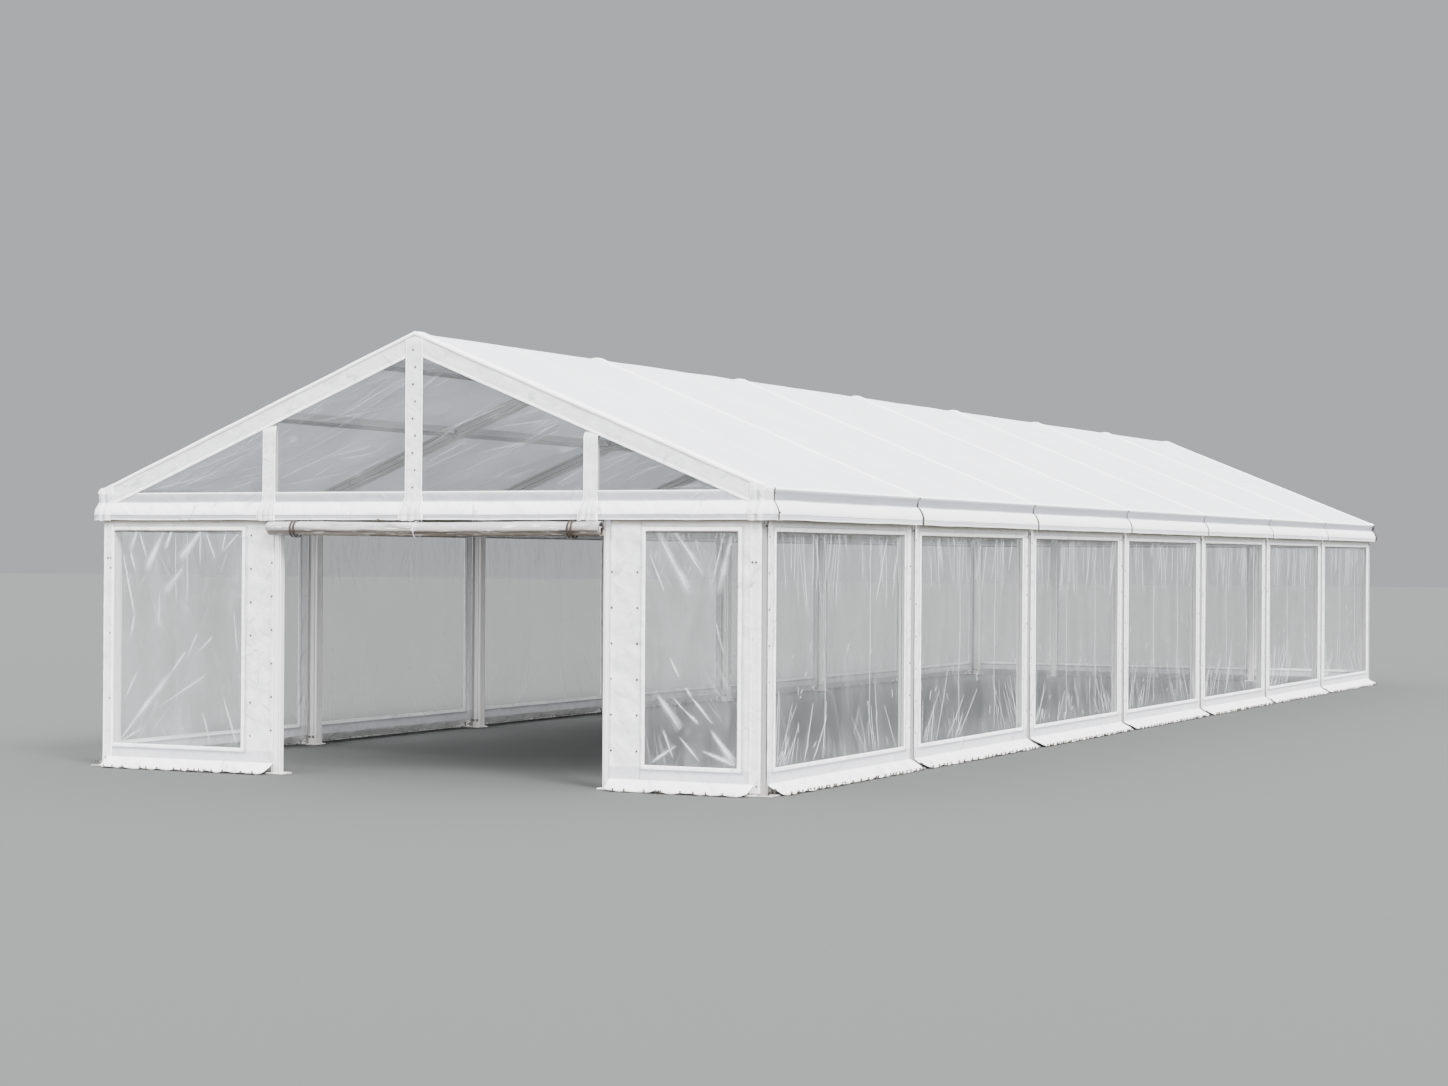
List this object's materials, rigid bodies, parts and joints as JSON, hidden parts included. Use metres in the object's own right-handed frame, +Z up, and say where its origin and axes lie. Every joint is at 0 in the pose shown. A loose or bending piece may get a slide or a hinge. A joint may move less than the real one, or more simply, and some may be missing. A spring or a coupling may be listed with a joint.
{
  "type": "frame marquee tent",
  "caption": "Long gable-roofed marquee on aluminium portal frames, with white PVC covers, clear windows all round, a clear gable and an open doorway with its curtain rolled up.",
  "frame": {"origin": "ground level, middle of the plan", "axes": "+X across the tent to the right of someone who faces the doorway, +Y along it away from the doorway, +Z up"},
  "size_m": [6.3372, 21.4372, 3.52],
  "materials": {
    "white_pvc": "coated white tarpaulin, soft satin",
    "clear_pvc": "clear flexible film with fine creases",
    "frame_aluminium": "extruded, lightly weathered",
    "purlin_aluminium": "extruded, brighter than the frames",
    "rolled_pvc": "rolled clear film, milky in its layers",
    "webbing": "dark woven strap"
  },
  "bodies": {
    "root": {"roof_cover_1": "white_pvc", "roof_cover_2": "white_pvc", "roof_cover_3": "white_pvc", "roof_cover_4": "white_pvc", "roof_cover_5": "white_pvc", "roof_cover_6": "white_pvc", "roof_cover_7": "white_pvc", "left_wall_panel_1": "white_pvc", "left_wall_panel_2": "white_pvc", "left_wall_panel_3": "white_pvc", "left_wall_panel_4": "white_pvc", "left_wall_panel_5": "white_pvc", "left_wall_panel_6": "white_pvc", "left_wall_panel_7": "white_pvc", "right_wall_panel_1": "white_pvc", "right_wall_panel_2": "white_pvc", "right_wall_panel_3": "white_pvc", "right_wall_panel_4": "white_pvc", "right_wall_panel_5": "white_pvc", "right_wall_panel_6": "white_pvc", "right_wall_panel_7": "white_pvc", "front_wall_panel_left": "white_pvc", "front_wall_panel_right": "white_pvc", "back_wall_panel": "white_pvc", "front_gable_cover": "white_pvc", "back_gable_cover": "white_pvc", "left_wall_film": "clear_pvc", "right_wall_film": "clear_pvc", "front_film_left": "clear_pvc", "front_film_right": "clear_pvc", "back_wall_film": "clear_pvc", "front_gable_film": "clear_pvc", "back_gable_film": "clear_pvc", "portal_frame_1": "frame_aluminium", "portal_frame_2": "frame_aluminium", "portal_frame_3": "frame_aluminium", "portal_frame_4": "frame_aluminium", "portal_frame_5": "frame_aluminium", "portal_frame_6": "frame_aluminium", "portal_frame_7": "frame_aluminium", "portal_frame_8": "frame_aluminium", "front_gable_frame": "frame_aluminium", "back_gable_frame": "frame_aluminium", "purlins_ridge": "purlin_aluminium", "purlins_upper_left": "purlin_aluminium", "purlins_upper_right": "purlin_aluminium", "purlins_mid_left": "purlin_aluminium", "purlins_mid_right": "purlin_aluminium", "purlins_eave_left": "purlin_aluminium", "purlins_eave_right": "purlin_aluminium", "door_roll": "rolled_pvc", "roll_strap_left": "webbing", "roll_strap_right": "webbing"}
  },
  "joints": []
}
